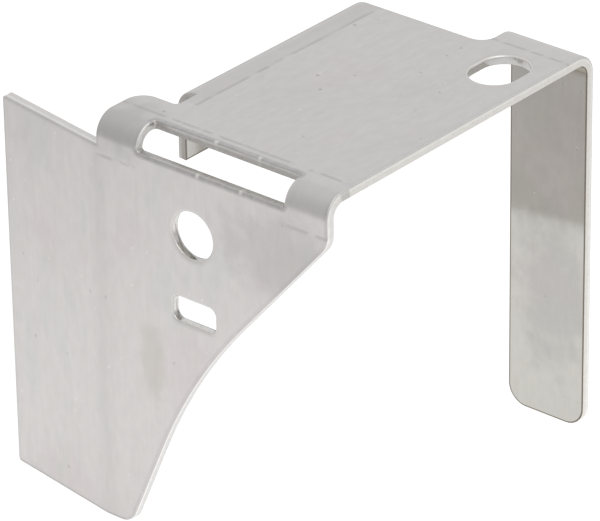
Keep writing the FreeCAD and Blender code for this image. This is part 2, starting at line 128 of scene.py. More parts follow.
class SheetSizes(bpy.types.PropertyGroup):
    """Driving dimensions of the folded sheet."""

    thickness: length("Thickness", "Gauge of the sheet", 3 * MM)
    bend_radius: length("Bend radius", "Inside radius of every bend", 4 * MM)
    top_length: length(
        "Top length", "Front plate's outer face to the leg's outer face", CAD_HIGH.x - CAD_LOW.x)
    top_width: length("Top width", "Right edge to the flange's outer face", 78.8 * MM)
    tab_reach: length("Tab reach", "Flange's outer face to the front bend's left end", 6.2 * MM)
    back_setback: length("Back setback", "Leg's outer face to the top's back edge", 15.5 * MM)
    leg_width: length("Leg width", "Width of the leg", 28 * MM)
    leg_length: length("Leg length", "Top surface to the leg's lower end", 124.8 * MM)
    leg_corner: length("Leg corner", "Radius of the leg's lower corners", 6.5 * MM)
    leg_relief: length("Leg relief", "Radius between the back edge and the leg", 5 * MM)
    flange_start: length("Flange start", "Front plate's outer face to the flange", 28 * MM)
    flange_depth: length("Flange depth", "Top surface to the flange's lower edge", 22.6 * MM)
    notch_width: length("Notch width", "Relief notch between tab and flange", 8.5 * MM)
    notch_relief: length("Notch relief", "How far the notch cuts past the flange's bend", 0.5 * MM)
    notch_corner: length("Notch corner", "Inside corner of the relief notch", 1.5 * MM)
    tab_corner: length("Tab corner", "Radius of the tab's corner", 6 * MM)
    plate_height: length(
        "Plate height", "Top surface to the front plate's lower edge", CAD_HIGH.z - CAD_LOW.z)
    shoulder_drop: length("Shoulder drop", "Top surface to the slanted right edge", 14.5 * MM)
    shoulder_angle: angle("Shoulder angle", "Upper slant of the right edge", 40.8)
    shoulder_radius: length("Shoulder radius", "Rounding of the shoulder", 8 * MM)
    waist_drop: length("Waist drop", "Top surface to where the two slants cross", 74.4 * MM)
    waist_radius: length("Waist radius", "Long inward curve of the right edge", 190 * MM)
    foot_angle: angle("Foot angle", "Lower slant of the right edge", 23.5)
    foot_corner: length("Foot corner", "Radius of the lower right corner", 6 * MM)
    ear_clearance: length("Ear clearance", "Front bend's left end to the ear's bend", 0.7 * MM)
    ear_angle: angle("Ear angle", "How far the ear is bent back", 9)
    ear_length: length("Ear length", "Bend line of the ear to its free edge", 42.2 * MM)
    ear_drop: length("Ear drop", "Top surface to the ear's upper edge", 9.2 * MM)
    ear_corner: length("Ear corner", "Radius of the ear's free corners", 1.2 * MM)
    window_length: length("Window length", "Window in the front bend", 54.2 * MM)
    window_reach: length("Window reach", "Front plate's outer face to its far side", 8.4 * MM)
    window_drop: length("Window drop", "Top surface to its lower side", 7.2 * MM)
    window_corner: length("Window corner", "Corner radius of the window", 0.8 * MM)
    hole_side: length("Hole side", "Right edge to the round hole and the small slot", 49.5 * MM)
    hole_drop: length("Hole drop", "Top surface to the centre of the round hole", 27.3 * MM)
    hole_diameter: length("Hole diameter", "Round hole in the front plate", 15 * MM)
    slot_spacing: length("Slot spacing", "Round hole to small slot", 25 * MM)
    slot_length: length("Slot length", "Small slot, across the plate", 16 * MM)
    slot_height: length("Slot height", "Small slot, up the plate", 8 * MM)
    slot_corner: length("Slot corner", "Corner radius of the small slot", 2.5 * MM)
    oblong_setback: length("Oblong setback", "Leg's outer face to the oblong hole", 27.2 * MM)
    oblong_side: length("Oblong side", "Right edge to the oblong hole", 13.4 * MM)
    oblong_width: length("Oblong width", "Oblong hole, across", 15 * MM)
    oblong_length: length("Oblong length", "Oblong hole, along the top", 20 * MM)


class RimSizes(bpy.types.PropertyGroup):
    """What punching leaves along every rim of the sheet."""

    roll: length("Roll", "Small rounding where the punch enters", 0.4 * MM)
    droop: length("Droop", "How far the skin is drawn down at a rim", 0.2 * MM)
    droop_width: length("Droop width", "How far from a rim the skin is drawn down", 1.7 * MM)
    droop_outside: share("Droop outside", "Share of the droop that the outline has", 0.25)
    burr: length("Burr", "Small bevel where the punch leaves", 0.12 * MM)
    tear: length("Tear", "How far the torn part of a hole's face falls back", 0.22 * MM)
    flare: length("Flare", "How far the outline's torn part stands out at the front", 0.22 * MM)
    tear_reach: length("Tear reach", "Width of the skin that the torn part draws in", 1.2 * MM)
    burnish: share("Burnish", "Smooth upper share of a cut face", 0.42)
    chord: length("Chord", "How far a rounded corner may stray from its arc", 0.01 * MM)


class FinishColours(bpy.types.PropertyGroup):
    """Colours and smoothness of the bare steel."""

    steel: colour("Steel", "Mill finish of the outer skin", 0.672, 0.654, 0.644)
    inside: colour("Inside", "Warmer inner skin", 0.610, 0.594, 0.556)
    cut: colour("Cut", "Sheared faces of the top plate and the leg", 0.96, 0.94, 0.895)
    fresh_cut: colour("Fresh cut", "Sheared faces of the front plate", 0.975, 0.965, 0.945)
    # Punched: the darker colour of the hole faces is partly painted shade inside the holes.
    punched: colour("Punched", "Polished faces inside the holes", 0.78, 0.77, 0.75)
    # Burr: a dark line along the inner rims, partly painted shade, and dark scuffs in the holes.
    burr: colour("Burr", "Dark line where the punch tore out", 0.20, 0.17, 0.14)
    warm: colour("Warm", "Pinkish clouds in the finish", 0.67, 0.61, 0.605)
    cool: colour("Cool", "Greenish grey clouds in the finish", 0.60, 0.615, 0.59)
    # This dull dark colour paints handling marks, and also painted shade: beside the rims, in the
    # holes and corners, along the ear's and flange's bends and under the top.
    smudge_and_shade: colour("Smudge", "Dull handling marks", 0.42, 0.405, 0.40)
    oil: colour("Oil", "Yellowish film of old oil", 0.50, 0.47, 0.40)
    heat: colour("Heat", "Purplish grey where the sheet is stretched", 0.50, 0.47, 0.50)
    # Olive: painted shade inside the leg's bend, on the inner skin.
    olive: colour("Olive", "Stain inside the leg's bend", 0.30, 0.28, 0.22)
    pit: colour("Pit", "Small pits and specks", 0.20, 0.19, 0.18)
    roughness: share("Roughness", "Roughness of the outer skin", 0.22)
    inside_roughness: share("Inside roughness", "Roughness of the inner skin", 0.08)
    bend_roughness: share("Bend roughness", "Roughness where the sheet is stretched", 0.34)
    cut_roughness: share("Cut roughness", "Roughness of the sheared faces", 0.42)
    punched_roughness: share("Punched roughness", "Roughness inside the holes", 0.13)
    window_roughness: share("Window roughness", "Roughness inside the window", 0.36)


class Studio(bpy.types.PropertyGroup):
    """Camera, lamp, floor and surroundings."""

    camera_place: place("Camera place", "Where the camera stands", -0.94061, -0.83983, 0.66287)
    camera_aim: place("Camera aim", "Middle of the picture", 0.06045, 0.01296, -0.03769)
    camera_roll: angle("Camera roll", "Turn of the camera about its line of sight", -0.895)
    lens: strength("Lens", "Focal length, in millimetres", 304.01, "CAMERA")
    sensor: strength("Sensor", "Sensor width, in millimetres", 36, "CAMERA")
    nearest: length("Nearest", "Nearest that the camera sees", 0.05)
    farthest: length("Farthest", "Farthest that the camera sees", 50)
    floor_radius: length("Floor radius", "Half the width of the floor", 4)
    floor_colour: colour("Floor colour", "Plain pale floor", 0.8, 0.8, 0.8)
    floor_glow: strength("Floor glow", "Strength of the plain white", 1.26)
    floor_white: share("Floor white", "Share of plain white in what is seen of the floor", 0.72)
    floor_mirrored: share("Floor mirrored", "The same for what is mirrored of the floor", 0.62)
    mirror_dimming: share("Mirror dimming", "How much dimmer the far floor is mirrored", 0.62)
    mirror_reach: length("Mirror reach", "Distance at which the mirrored floor is dimmest", 0.6)
    backdrop: strength("Backdrop", "Brightness of the surroundings behind the part", 1.02)
    room: strength("Room", "Brightness of the surroundings behind the camera", 0.62)
    lamp_place: place("Lamp place", "Where the lamp stands, seen from the part", -0.3, -1.2, 1.3)
    lamp_size: length("Lamp size", "Side of the square lamp", 1.6)
    lamp_power: strength("Lamp power", "Power of the lamp", 14, "POWER")


def sizes():
    return bpy.context.scene.clamp_sheet


def rims():
    return bpy.context.scene.clamp_rims


def colours():
    return bpy.context.scene.clamp_finish


def studio():
    return bpy.context.scene.clamp_studio


# The blank


def bend_outside():
    """Outside radius of every bend."""
    return sizes().bend_radius + sizes().thickness


def tab_side():
    """Side at which the tab and the front bend end."""
    return sizes().top_width + sizes().tab_reach


def notch_floor():
    """Side at which the relief notch ends, just past the flange's bend."""
    return sizes().top_width - bend_outside() - sizes().notch_relief


def ear_line():
    """Side of the line along which the ear is bent."""
    return tab_side() + sizes().ear_clearance


def window_sides():
    """Sides at which the window starts and ends."""
    start = (tab_side() - sizes().window_length) / 2
    return start, start + sizes().window_length


def blank_corners():
    """Corners of the blank in order: run, side and the radius of each."""
    s = sizes()
    leg_end = s.top_length + s.leg_length
    back_edge = s.top_length - s.back_setback
    flange_edge = s.top_width + s.flange_depth
    notch_start = s.flange_start - s.notch_width
    ear_edge = ear_line() + s.ear_length
    waist_side = (s.waist_drop - s.shoulder_drop) * math.tan(s.shoulder_angle)
    foot_side = waist_side + (s.plate_height - s.waist_drop) * math.tan(s.foot_angle)
    return [
        (-s.shoulder_drop, 0, s.shoulder_radius),
        (leg_end, 0, s.leg_corner),
        (leg_end, s.leg_width, s.leg_corner),
        (back_edge, s.leg_width, s.leg_relief),
        (back_edge, flange_edge, 0),
        (s.flange_start, flange_edge, 0),
        (s.flange_start, notch_floor(), 0),
        (notch_start, notch_floor(), s.notch_corner),
        (notch_start, tab_side(), s.tab_corner),
        (-s.ear_drop, tab_side(), 0),
        (-s.ear_drop, ear_edge, s.ear_corner),
        (-s.plate_height, ear_edge, s.ear_corner),
        (-s.plate_height, foot_side, s.foot_corner),
        (-s.waist_drop, waist_side, s.waist_radius),
    ]


def rectangle(low_run, high_run, low_side, high_side, radius):
    """Corners of a rectangular hole in the blank."""
    return [(low_run, low_side, radius), (high_run, low_side, radius),
            (high_run, high_side, radius), (low_run, high_side, radius)]


def rectangular_holes():
    """Window, small slot and oblong hole."""
    s = sizes()
    slot_run = -s.hole_drop - s.slot_spacing
    oblong_run = s.top_length - s.oblong_setback
    return [
        rectangle(-s.window_drop, s.window_reach, *window_sides(), s.window_corner),
        rectangle(slot_run - s.slot_height / 2, slot_run + s.slot_height / 2,
                  s.hole_side - s.slot_length / 2, s.hole_side + s.slot_length / 2,
                  s.slot_corner),
        rectangle(oblong_run - s.oblong_length / 2, oblong_run + s.oblong_length / 2,
                  s.oblong_side - s.oblong_width / 2, s.oblong_side + s.oblong_width / 2,
                  s.oblong_width / 2),
    ]


def arc_steps(radius, turn):
    """How many straight pieces keep an arc within the chord error."""
    step = 2 * math.acos(1 - rims().chord / radius)
    return max(2, math.ceil(abs(turn) / step))


def turn_corner(bm, corner, before, after, radius):
    """Vertices of one corner of an outline: a point, or an arc spun about its centre."""
    if not radius:
        return [bm.verts.new(corner)]
    back, on = (before - corner).normalized(), (after - corner).normalized()
    half = back.angle(on) / 2
    centre = corner + (back + on).normalized() * radius / math.sin(half)
    turn = math.copysign(math.pi - 2 * half, (-back).cross(on).z)
    count = len(bm.verts)
    start = bm.verts.new(corner + back * radius / math.tan(half))
    bmesh.ops.spin(bm, geom=[start], cent=centre, axis=UP, angle=turn,
                   steps=arc_steps(radius, turn))
    bm.verts.ensure_lookup_table()
    return bm.verts[count:]


def add_outline(bm, corners):
    """Closed outline through corners, each a run, a side and a radius."""
    points = [Vector((run, side, 0)) for run, side, _ in corners]
    befores, afters = points[-1:] + points[:-1], points[1:] + points[:1]
    arcs = [turn_corner(bm, point, before, after, radius) for point, before, after, (_, _, radius)
            in zip(points, befores, afters, corners)]
    for arc, following in zip(arcs, arcs[1:] + arcs[:1]):
        bm.edges.new((arc[-1], following[0]))


def cut_blank():
    """Flat blank with its outline and its four holes."""
    s = sizes()
    weld = s.thickness / 1000
    bm = bmesh.new()
    punched = bm.verts.layers.float.new(PUNCHED)
    add_outline(bm, blank_corners())
    outside = len(bm.verts)
    for hole in rectangular_holes():
        add_outline(bm, hole)
    bmesh.ops.create_circle(
        bm, radius=s.hole_diameter / 2, segments=arc_steps(s.hole_diameter / 2, math.tau),
        matrix=Matrix.Translation((-s.hole_drop, s.hole_side, 0)))
    for vertex in bm.verts[:][outside:]:
        vertex[punched] = 1
    bmesh.ops.remove_doubles(bm, verts=bm.verts[:], dist=weld)
    bmesh.ops.triangle_fill(bm, edges=bm.edges[:], use_beauty=True, normal=UP)
    bm.normal_update()
    bmesh.ops.reverse_faces(bm, faces=[face for face in bm.faces if face.normal.z < 0])
    return bm


# The rims


def ring_distances():
    """Distances from the rim of the rings that give its roll and its droop their shape."""
    r = rims()
    roll = [r.roll * part for part in (0.12, 0.45, 1)]
    droop = [r.roll + (r.droop_width - r.roll) * part for part in (0.15, 0.35, 0.6, 0.8, 1)]
    return roll + droop + [r.droop_width + r.roll]


def add_rings(bm):
    """Rings that run beside every rim of the blank, each with its distance from the rim."""
    distance = bm.verts.layers.float.new(RIM_DISTANCE)
    used_up = 0.2
    inner = bm.faces[:]
    reached = 0
    for ring in ring_distances():
        bmesh.ops.inset_region(
            bm, faces=inner, thickness=ring - reached, use_even_offset=True, use_boundary=True)
        beyond = list(dict.fromkeys(vertex for face in inner for vertex in face.verts))
        for vertex in beyond:
            vertex[distance] = ring
        bmesh.ops.remove_doubles(bm, verts=beyond, dist=ring * used_up)
        inner = [face for face in inner if face.is_valid]
        reached = ring


def drawn_down(distance, punched):
    """How deep the outer skin lies at a distance from the rim, deepest round a punched hole."""
    r = rims()
    droop = r.droop * (r.droop_outside + (1 - r.droop_outside) * punched)
    depth = 0
    if distance < r.roll:
        depth += r.roll - math.sqrt(r.roll ** 2 - (r.roll - distance) ** 2)
    if distance < r.droop_width:
        depth += droop * (1 - distance / r.droop_width) ** 2
    return depth


# The folds


class Fold:
    """A bend of the sheet along a line across it, seen from the top plate."""

    def __init__(self, away, line, turn, beyond=None):
        self.away, self.turn, self.radius = away, turn, bend_outside()
        self.span = 2 * self.radius * math.tan(turn / 2)
        self.start = line - self.span / 2
        self.beyond = beyond

    def stations(self, steps, guard):
        """Distances along the blank at which it is scored for the bend."""
        stops = [self.start + self.span * i / steps for i in range(steps + 1)]
        return [stops[0] - guard, *stops, stops[-1] + guard]

    def takes(self, point):
        """Whether the bend moves a point of the blank."""
        return self.beyond is None or self.beyond(point)

    def bend(self, point):
        """Where a point of the sheet goes."""
        along = point.dot(self.away)
        past = along - self.start
        if past <= 0:
            return point
        turn = self.turn * min(past / self.span, 1)
        rest = max(past - self.span, 0)
        height = point.z + self.radius
        moved = self.start + height * math.sin(turn) + rest * math.cos(turn)
        lifted = -self.radius + height * math.cos(turn) - rest * math.sin(turn)
        return point + self.away * (moved - along) + UP * (lifted - point.z)


def folds():
    """Ear and flange first, then the front plate and the leg, which carry what is bent already."""
    s = sizes()
    notch_middle = s.flange_start - s.notch_width / 2
    return [
        Fold(ALONG_SIDE, ear_line(), s.ear_angle, lambda point: point.x < -bend_outside()),
        Fold(ALONG_SIDE, s.top_width, math.pi / 2, lambda point: point.x > notch_middle),
        Fold(-ALONG_RUN, 0, math.pi / 2),
        Fold(ALONG_RUN, s.top_length, math.pi / 2),
    ]


def score_folds(bm):
    """Cuts across the blank that let it bend smoothly."""
    fine, coarse, guard = 24, 4, 0.35 * MM
    for fold in folds():
        steps = fine if fold.turn > math.pi / 4 else coarse
        for station in fold.stations(steps, guard):
            everything = bm.verts[:] + bm.edges[:] + bm.faces[:]
            bmesh.ops.bisect_plane(
                bm, geom=everything, dist=ON_PLANE, plane_co=fold.away * station,
                plane_no=fold.away)
    bmesh.ops.dissolve_degenerate(bm, dist=SHORTEST_EDGE, edges=bm.edges[:])


def thicken(bm):
    """Second skin and the cut faces between the two, with a line where the shear turned to tear."""
    s, r = sizes(), rims()
    bmesh.ops.solidify(bm, geom=bm.faces[:], thickness=-s.thickness)
    low = min(vertex.co.z for vertex in bm.verts)
    for vertex in bm.verts:
        vertex.co.z -= low + s.thickness
    bmesh.ops.bisect_plane(
        bm, geom=bm.verts[:] + bm.edges[:] + bm.faces[:], dist=ON_PLANE,
        plane_co=UP * -s.thickness * r.burnish, plane_no=UP)


def away_from_rim(vertex, distance):
    """Direction along the skin that leads a vertex away from its rim."""
    ways, slopes = [], []
    for edge in vertex.link_edges:
        other = edge.other_vert(vertex)
        way = other.co - vertex.co
        if abs(way.z) < LEVEL:
            ways.append(way.to_2d().normalized())
            slopes.append((other[distance] - vertex[distance]) / way.length)
    steepest = numpy.linalg.lstsq(ways, slopes, rcond=None)[0]
    return Vector((*steepest, 0)).normalized()


def flare_at(point):
    """How far the outline's torn part stands out: none at the leg or in its sharp inner corners."""
    s = sizes()
    inner_corners = (Vector((-s.ear_drop, tab_side())),
                     Vector((s.flange_start, notch_floor())),
                     Vector((s.flange_start - s.notch_width, notch_floor())))
    clear = min((point.to_2d() - corner).length for corner in inner_corners)
    clear_of_corners = min(max(clear / MM - 1, 0), 1)
    short_of_leg = 1 - min(max(point.x / s.top_length, 0), 1)
    return rims().flare * clear_of_corners * short_of_leg


def shape_rims(bm):
    """Draws the outer skin down towards its rims, and moves the inner one with the torn faces."""
    s, r = sizes(), rims()
    distance = bm.verts.layers.float[RIM_DISTANCE]
    punched = bm.verts.layers.float[PUNCHED]
    depth = bm.verts.layers.float.new(DEPTH)
    for vertex in bm.verts:
        vertex[depth] = -vertex.co.z / s.thickness
    nearly = 0.99
    inner = [v for v in bm.verts if v[depth] > nearly and v[distance] < r.tear_reach]
    steps = []
    for vertex in inner:
        back = r.tear if vertex[punched] > 0.5 else -flare_at(vertex.co)
        fade = 1 - vertex[distance] / r.tear_reach
        steps.append(away_from_rim(vertex, distance) * back * fade)
    for vertex, step in zip(inner, steps):
        vertex.co += step
        vertex.co.z += max(r.burr - vertex[distance], 0)
    for vertex in bm.verts:
        if vertex[depth] < 1 - nearly:
            vertex.co.z = -drawn_down(vertex[distance], vertex[punched])


def map_blank(bm):
    """Map of the sheet as it was flat, in metres along its run and its side."""
    layer = bm.loops.layers.uv.new(BLANK_MAP)
    for face in bm.faces:
        for loop in face.loops:
            loop[layer].uv = loop.vert.co.xy


def fold_sheet(bm):
    """Folds the blank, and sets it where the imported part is."""
    bends = folds()
    for vertex in bm.verts:
        flat = vertex.co.copy()
        for fold in bends:
            if fold.takes(flat):
                vertex.co = fold.bend(vertex.co)
    corner = Vector((CAD_LOW.x, CAD_LOW.y, CAD_HIGH.z))
    bmesh.ops.translate(bm, verts=bm.verts[:], vec=corner)
    bmesh.ops.recalc_face_normals(bm, faces=bm.faces[:])


def part_faces(bm):
    """Gives the cut faces the second material, and shades every face smooth."""
    distance = bm.verts.layers.float[RIM_DISTANCE]
    for face in bm.faces:
        face.smooth = True
        face.material_index = int(all(vertex[distance] == 0 for vertex in face.verts))


# Materials

NUMBER = "NodeSocketFloat"
VECTOR = "NodeSocketVector"

# Shares of the window's length at which the punch's strokes met.
STROKES = (0.29, 0.585)

# Stains, and patches of painted shade: run and side of the middle and the reach along both, in
# millimetres, and the strength.
StainAndShade = namedtuple("StainAndShade", "run side reach_run reach_side strength")
SHOULDER_SMUDGE = StainAndShade(-24, 17, 22, 29, 1)
TAB_SMUDGE = StainAndShade(2, 78, 18, 14, 0.38)
LEG_SMUDGE = StainAndShade(203, 12, 34, 20, 0.46)
# Painted shade on the inner skin under the top plate.
UNDER_TOP_SHADE = StainAndShade(128, 14, 40, 24, 0.2)
OIL_FILM = StainAndShade(-73.5, 65.5, 17, 6.5, 0.36)
WINDOW_END_STAIN = StainAndShade(-1, 69.6, 10, 4, 0.3)
# The next three entries are painted shade: the slot's corner, the round hole's lower face and the
# flange's end face in the notch.
SLOT_CORNER_SHADE = StainAndShade(-55.8, 56.7, 2.4, 2.4, 0.8)
ROUND_HOLE_SHADE = StainAndShade(-33.7, 53.5, 9, 8, 0.6)
FLANGE_END_SHADE = StainAndShade(28, 78.5, 4, 9.5, 0.55)


def rgba(values):
    return (*values, 1.0)


class Graph:
    """Adds nodes to a node tree, and fills or links their sockets by name."""

    def __init__(self, tree):
        self.tree = tree
        tree.nodes.clear()

    def add(self, kind, sockets=None, **settings):
        node = self.tree.nodes.new(kind)
        row, column = divmod(len(self.tree.nodes), 12)
        node.location = (200 * column, -260 * row)
        for name, value in settings.items():
            setattr(node, name, value)
        for name, value in (sockets or {}).items():
            self.fill(node.inputs[name], value)
        return node

    def fill(self, socket, value):
        if isinstance(value, bpy.types.NodeSocket):
            self.tree.links.new(value, socket)
        else:
            socket.default_value = value

    def maths(self, operation, *values):
        return self.add(
            "ShaderNodeMath", dict(enumerate(values)), operation=operation).outputs[0]

    def vector_maths(self, operation, *values):
        return self.add(
            "ShaderNodeVectorMath", dict(enumerate(values)), operation=operation).outputs

    def chain(self, operation, first, *others):
        for other in others:
            first = self.maths(operation, first, other)
        return first

    def product(self, *values):
        return self.chain("MULTIPLY", *values)

    def total(self, *values):
        return self.chain("ADD", *values)

    def highest(self, *values):
        return self.chain("MAXIMUM", *values)

    def apart(self, value, other):
        """How far a value is from another, either way."""
        return self.maths("ABSOLUTE", self.maths("SUBTRACT", value, other))

    def above(self, value, limit):
        return self.maths("GREATER_THAN", value, limit)

    def below(self, value, limit):
        return self.maths("LESS_THAN", value, limit)

    def remap(self, value, low, high, to_low=0.0, to_high=1.0):
        """Smooth step of a value between two limits."""
        sockets = {"Value": value, "From Min": low, "From Max": high,
                   "To Min": to_low, "To Max": to_high}
        return self.add("ShaderNodeMapRange", sockets, interpolation_type="SMOOTHSTEP").outputs[0]

    def between(self, factor, first, second):
        """Number between two numbers."""
        sockets = {0: factor, 2: first, 3: second}
        return self.add("ShaderNodeMix", sockets, data_type="FLOAT").outputs[0]

    def mix(self, factor, first, second, blend="MIX"):
        """Colour between two colours."""
        sockets = {0: factor, 6: first, 7: second}
        return self.add("ShaderNodeMix", sockets, data_type="RGBA", blend_type=blend).outputs[2]

    def scaled(self, vector, scale):
        sockets = {"Vector": vector, "Scale": scale}
        return self.add("ShaderNodeMapping", sockets).outputs[0]

    def noise(self, vector, scale, detail=2.0, roughness=0.5):
        sockets = {"Vector": vector, "Scale": scale, "Detail": detail, "Roughness": roughness}
        return self.add("ShaderNodeTexNoise", sockets).outputs[0]

    def attribute(self, name):
        return self.add("ShaderNodeAttribute", attribute_name=name).outputs["Fac"]


def node_group(name, make, **inputs):
    """Node group that puts out what make gives for its inputs, which are named with their kinds."""
    tree = bpy.data.node_groups.new(name, "ShaderNodeTree")
    for label, kind in inputs.items():
        tree.interface.new_socket(label, in_out="INPUT", socket_type=kind)
    tree.interface.new_socket("Value", in_out="OUTPUT", socket_type=NUMBER)
    graph = Graph(tree)
    entry = graph.add("NodeGroupInput").outputs
    made = make(graph, *(entry[label] for label in inputs))
    graph.add("NodeGroupOutput", {"Value": made})
    return tree


def clouds(graph, vector, size, threshold):
    """Soft patches of a size: more of them as the threshold falls."""
    pattern = graph.noise(vector, graph.maths("DIVIDE", 1.0, size), 3.0, 0.55)
    return graph.remap(pattern, threshold, graph.total(threshold, 0.2))


def mill_lines(graph, vector, width, reach):
    """Fine lines of the rolling mill along the run of the sheet."""
    ratio = graph.maths("DIVIDE", width, reach)
    shape = graph.add("ShaderNodeCombineXYZ", {"X": ratio, "Y": 1.0, "Z": 1.0}).outputs[0]
    stretched = graph.scaled(vector, shape)
    return graph.noise(stretched, graph.maths("DIVIDE", 1.0, width), 3.0, 0.6)


def soft_stain_and_shade(graph, vector, middle, reach):
    """One soft-edged patch with an uneven outline, at a place on the blank."""
    fineness, unevenness = 140.0, (1.1, 1.1, 0.0)
    wander = graph.add("ShaderNodeTexNoise", {"Vector": vector, "Scale": fineness,
                                              "Detail": 3.0}).outputs["Color"]
    centred = graph.vector_maths("SUBTRACT", wander, (0.5, 0.5, 0.5))[0]
    away = graph.vector_maths("SUBTRACT", vector, middle)[0]
    scaled = graph.vector_maths("DIVIDE", away, reach)[0]
    uneven = graph.vector_maths("MULTIPLY_ADD", centred, unevenness, scaled)[0]
    return graph.remap(graph.vector_maths("LENGTH", uneven)["Value"], 1.0, 0.35)


def soft_pits(graph, vector, spacing, part):
    """Sparse small pits with soft rims."""
    widest = 0.12
    scale = graph.maths("DIVIDE", 1.0, spacing)
    cells = graph.add("ShaderNodeTexVoronoi", {"Vector": vector, "Scale": scale},
                      voronoi_dimensions="2D")
    chance = graph.add("ShaderNodeSeparateColor", {"Color": cells.outputs["Color"]}).outputs
    width = graph.product(chance["Green"], widest)
    spot = graph.remap(cells.outputs["Distance"], width, graph.product(width, 0.4))
    return graph.product(spot, graph.below(chance["Red"], part))


def press_and_shade_line(graph, distance, stop, width):
    """Narrow band at one distance along the blank: the mark that a press tool leaves, and also the
    painted shade band along the ear's bend.
    """
    return graph.remap(graph.apart(distance, stop), width, 0.0)


def rim_band(graph, near, far):
    """Band along the rims that fades out between two distances from them."""
    return graph.remap(graph.attribute(RIM_DISTANCE), far, near)


def punch_strokes(graph, run, side):
    """Steps along the window's long sides, where one stroke of the punch met the next."""
    start, end = window_sides()
    wide, narrow = 0.9 * MM, 0.3 * MM
    steps = [graph.remap(graph.apart(side, start + (end - start) * part), wide, narrow)
             for part in STROKES]
    reach = sizes().window_reach * 1.2
    near = graph.below(graph.maths("ABSOLUTE", run), reach)
    return graph.product(graph.highest(*steps), near)


def steel_groups():
    """The node groups that the two materials share."""
    return {
        "clouds": node_group("Clouds", clouds, Vector=VECTOR, Size=NUMBER, Threshold=NUMBER),
        "lines": node_group("Mill lines", mill_lines, Vector=VECTOR, Width=NUMBER, Reach=NUMBER),
        "stain_and_shade": node_group("StainAndShade", soft_stain_and_shade, Vector=VECTOR, Middle=VECTOR, Reach=VECTOR),
        "pits": node_group("Pits", soft_pits, Vector=VECTOR, Spacing=NUMBER, Part=NUMBER),
        "press": node_group("Press and shade line", press_and_shade_line, Distance=NUMBER, Stop=NUMBER, Width=NUMBER),
        "rim": node_group("Rim", rim_band, Near=NUMBER, Far=NUMBER),
        "strokes": node_group("Punch strokes", punch_strokes, Run=NUMBER, Side=NUMBER),
    }


class Finish:
    """Bare metal whose colour is laid down tint by tint."""

    def __init__(self, name, groups):
        self.groups = groups
        self.material = bpy.data.materials.new(name)
        self.material.use_nodes = True
        self.graph = graph = Graph(self.material.node_tree)
        shader = graph.add("ShaderNodeBsdfPrincipled", {"Metallic": 1.0})
        graph.add("ShaderNodeOutputMaterial", {"Surface": shader.outputs[0]})
        self.blank = graph.add("ShaderNodeUVMap", uv_map=BLANK_MAP).outputs[0]
        place = graph.add("ShaderNodeSeparateXYZ", {"Vector": self.blank}).outputs
        self.run, self.side = place["X"], place["Y"]
        self.front = graph.below(self.run, 0.0)
        self.depth, self.punched = graph.attribute(DEPTH), graph.attribute(PUNCHED)
        self.lay_down()
        bump = {"Strength": 1.0, "Distance": MM, "Height": self.relief()}
        graph.fill(shader.inputs["Base Color"], self.tone)
        graph.fill(shader.inputs["Roughness"], self.roughness())
        graph.fill(shader.inputs["Normal"], graph.add("ShaderNodeBump", bump).outputs["Normal"])

    def tint(self, shade, *strengths):
        """Draws the tone towards a shade by the product of the strengths."""
        self.tone = self.graph.mix(self.graph.product(*strengths), self.tone, rgba(shade))

    def group(self, name, **sockets):
        """Output of a node group."""
        return self.graph.add("ShaderNodeGroup", sockets, node_tree=self.groups[name]).outputs[0]

    def stain_and_shade(self, stain_and_shade):
        """Mask of one of the listed patches: stains, and patches of painted shade."""
        middle = (stain_and_shade.run * MM, stain_and_shade.side * MM, 0)
        reach = (stain_and_shade.reach_run * MM, stain_and_shade.reach_side * MM, 1)
        mask = self.group("stain_and_shade", Vector=self.blank, Middle=middle, Reach=reach)
        return self.graph.product(mask, stain_and_shade.strength)

    def rim(self, near, far):
        """Band along the rims, with its two distances in millimetres."""
        return self.group("rim", Near=near * MM, Far=far * MM)


